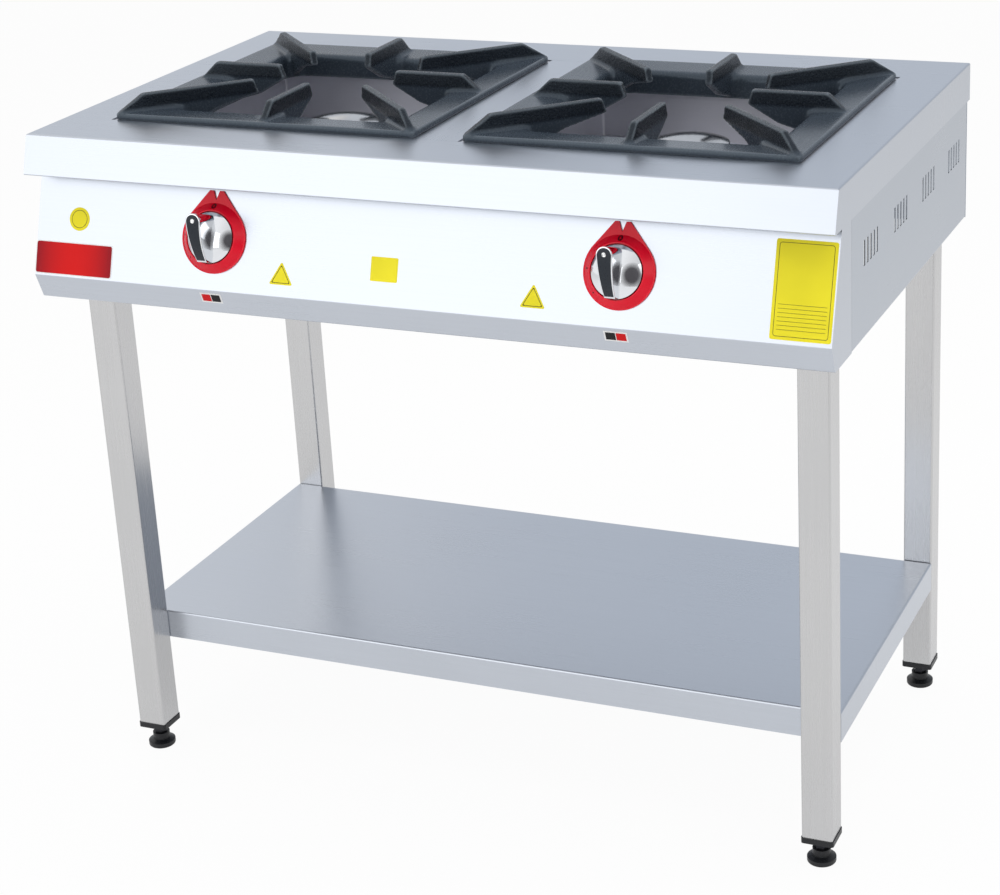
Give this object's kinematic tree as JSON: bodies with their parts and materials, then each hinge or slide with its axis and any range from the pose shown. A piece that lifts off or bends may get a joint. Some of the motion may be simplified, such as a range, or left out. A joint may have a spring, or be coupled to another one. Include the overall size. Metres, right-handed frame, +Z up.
{
  "type": "stock pot range",
  "caption": "Two-burner gas stock pot range on square legs with a low shelf, finned cast-iron grates, deep drip pans and two push-and-turn taps on a leaning front panel.",
  "frame": {"origin": "on the floor, under the middle of the whole range's width and depth", "axes": "+Z up, +X to the user's right, -Y out of the front panel towards the user"},
  "size_m": [1, 0.6466, 0.8775],
  "materials": {
    "black_plastic": "moulded black plastic",
    "brass": "turned brass",
    "burner_iron": "plain cast iron",
    "cast_aluminium": "as cast",
    "chrome": "bright chrome on a moulded knob",
    "copper_tube": "drawn copper tube",
    "galvanised": "galvanised steel pipe",
    "inlay_plastic": "matt black inlay",
    "iron": "satin black cast iron",
    "leg_stainless": "satin stainless tube",
    "polished_steel": "polished steel",
    "red_plastic": "glossy red moulding",
    "spring_steel": "spring wire",
    "stainless": "brushed stainless sheet",
    "zinc_steel": "bright zinc plate"
  },
  "bodies": {
    "range": {"back_panel": "stainless", "back_panel_screws": "zinc_steel", "burner_body_left": "burner_iron", "burner_body_right": "burner_iron", "burner_screws": "zinc_steel", "drip_pan_left": "stainless", "drip_pan_right": "stainless", "front_panel": "stainless", "gas_inlet": "zinc_steel", "gas_manifold": "galvanised", "gas_tap_left": "brass", "gas_tap_right": "brass", "injector_left": "brass", "injector_right": "brass", "leg_back_left": "leg_stainless", "leg_back_right": "leg_stainless", "leg_front_left": "leg_stainless", "leg_front_right": "leg_stainless", "leg_plugs": "black_plastic", "mixing_tube_left": "cast_aluminium", "mixing_tube_right": "cast_aluminium", "rail_back": "stainless", "rail_front": "stainless", "rail_left": "stainless", "rail_right": "stainless", "rosette_left": "red_plastic", "rosette_right": "red_plastic", "shelf": "stainless", "shelf_bolts": "zinc_steel", "shelf_stiffener": "stainless", "side_panel_left": "stainless", "side_panel_right": "stainless", "supply_tube_left": "copper_tube", "supply_tube_right": "copper_tube", "top_divider": "stainless", "top_plate": "stainless"},
    "tap_plunger_left": {"thrust_washer_left": "zinc_steel", "return_spring_left": "spring_steel"},
    "knob_set_left": {"spindle_left": "zinc_steel", "knob_left": "chrome", "knob_inlay_left": "inlay_plastic"},
    "grate_left": {"grate_left": "iron"},
    "burner_cap_left": {"burner_cap_left": "polished_steel"},
    "tap_plunger_right": {"thrust_washer_right": "zinc_steel", "return_spring_right": "spring_steel"},
    "knob_set_right": {"spindle_right": "zinc_steel", "knob_right": "chrome", "knob_inlay_right": "inlay_plastic"},
    "grate_right": {"grate_right": "iron"},
    "burner_cap_right": {"burner_cap_right": "polished_steel"},
    "foot_pad_front_left": {"foot_pad_front_left": "black_plastic"},
    "foot_stem_front_left": {"foot_stem_front_left": "zinc_steel"},
    "foot_pad_front_right": {"foot_pad_front_right": "black_plastic"},
    "foot_stem_front_right": {"foot_stem_front_right": "zinc_steel"},
    "foot_pad_back_left": {"foot_pad_back_left": "black_plastic"},
    "foot_stem_back_left": {"foot_stem_back_left": "zinc_steel"},
    "foot_pad_back_right": {"foot_pad_back_right": "black_plastic"},
    "foot_stem_back_right": {"foot_stem_back_right": "zinc_steel"}
  },
  "joints": [
    {"name": "knob_push_left", "type": "slide", "parent": "range", "child": "tap_plunger_left", "axis": [0, 0.9489, -0.3156], "range_m": [0, 0.004], "stiffness_N_per_m": 900, "springref_m": -0.004, "deforming": ["return_spring_left"]},
    {"name": "knob_turn_left", "type": "hinge", "parent": "tap_plunger_left", "child": "knob_set_left", "pos_m": [-0.2535, -0.27964, 0.73983], "axis": [0, -0.9489, 0.3156], "range_deg": [0, 135]},
    {"name": "grate_lift_left", "type": "slide", "parent": "range", "child": "grate_left", "axis": [0, 0, 1], "range_m": [0, 0.12]},
    {"name": "burner_cap_lift_left", "type": "slide", "parent": "range", "child": "burner_cap_left", "axis": [0, 0, 1], "range_m": [0, 0.03]},
    {"name": "knob_push_right", "type": "slide", "parent": "range", "child": "tap_plunger_right", "axis": [0, 0.9489, -0.3156], "range_m": [0, 0.004], "stiffness_N_per_m": 900, "springref_m": -0.004, "deforming": ["return_spring_right"]},
    {"name": "knob_turn_right", "type": "hinge", "parent": "tap_plunger_right", "child": "knob_set_right", "pos_m": [0.2535, -0.27964, 0.73983], "axis": [0, -0.9489, 0.3156], "range_deg": [0, 135]},
    {"name": "grate_lift_right", "type": "slide", "parent": "range", "child": "grate_right", "axis": [0, 0, 1], "range_m": [0, 0.12]},
    {"name": "burner_cap_lift_right", "type": "slide", "parent": "range", "child": "burner_cap_right", "axis": [0, 0, 1], "range_m": [0, 0.03]},
    {"name": "foot_level_front_left", "type": "slide", "parent": "range", "child": "foot_pad_front_left", "axis": [0, 0, -1], "range_m": [0, 0.01]},
    {"name": "foot_screw_front_left", "type": "hinge", "parent": "foot_pad_front_left", "child": "foot_stem_front_left", "pos_m": [-0.456, -0.21141, 0.019], "axis": [0, 0, -1], "range_deg": [0, 2400.5]},
    {"name": "foot_level_front_right", "type": "slide", "parent": "range", "child": "foot_pad_front_right", "axis": [0, 0, -1], "range_m": [0, 0.01]},
    {"name": "foot_screw_front_right", "type": "hinge", "parent": "foot_pad_front_right", "child": "foot_stem_front_right", "pos_m": [0.456, -0.21141, 0.019], "axis": [0, 0, -1], "range_deg": [0, 2400.5]},
    {"name": "foot_level_back_left", "type": "slide", "parent": "range", "child": "foot_pad_back_left", "axis": [0, 0, -1], "range_m": [0, 0.01]},
    {"name": "foot_screw_back_left", "type": "hinge", "parent": "foot_pad_back_left", "child": "foot_stem_back_left", "pos_m": [-0.456, 0.25459, 0.019], "axis": [0, 0, -1], "range_deg": [0, 2400.5]},
    {"name": "foot_level_back_right", "type": "slide", "parent": "range", "child": "foot_pad_back_right", "axis": [0, 0, -1], "range_m": [0, 0.01]},
    {"name": "foot_screw_back_right", "type": "hinge", "parent": "foot_pad_back_right", "child": "foot_stem_back_right", "pos_m": [0.456, 0.25459, 0.019], "axis": [0, 0, -1], "range_deg": [0, 2400.5]}
  ],
  "couplings": [
    {"joint": "foot_screw_front_left", "follows": "foot_level_front_left", "rad_per_m": 4188.8},
    {"joint": "foot_screw_front_right", "follows": "foot_level_front_right", "rad_per_m": 4188.8},
    {"joint": "foot_screw_back_left", "follows": "foot_level_back_left", "rad_per_m": 4188.8},
    {"joint": "foot_screw_back_right", "follows": "foot_level_back_right", "rad_per_m": 4188.8}
  ]
}
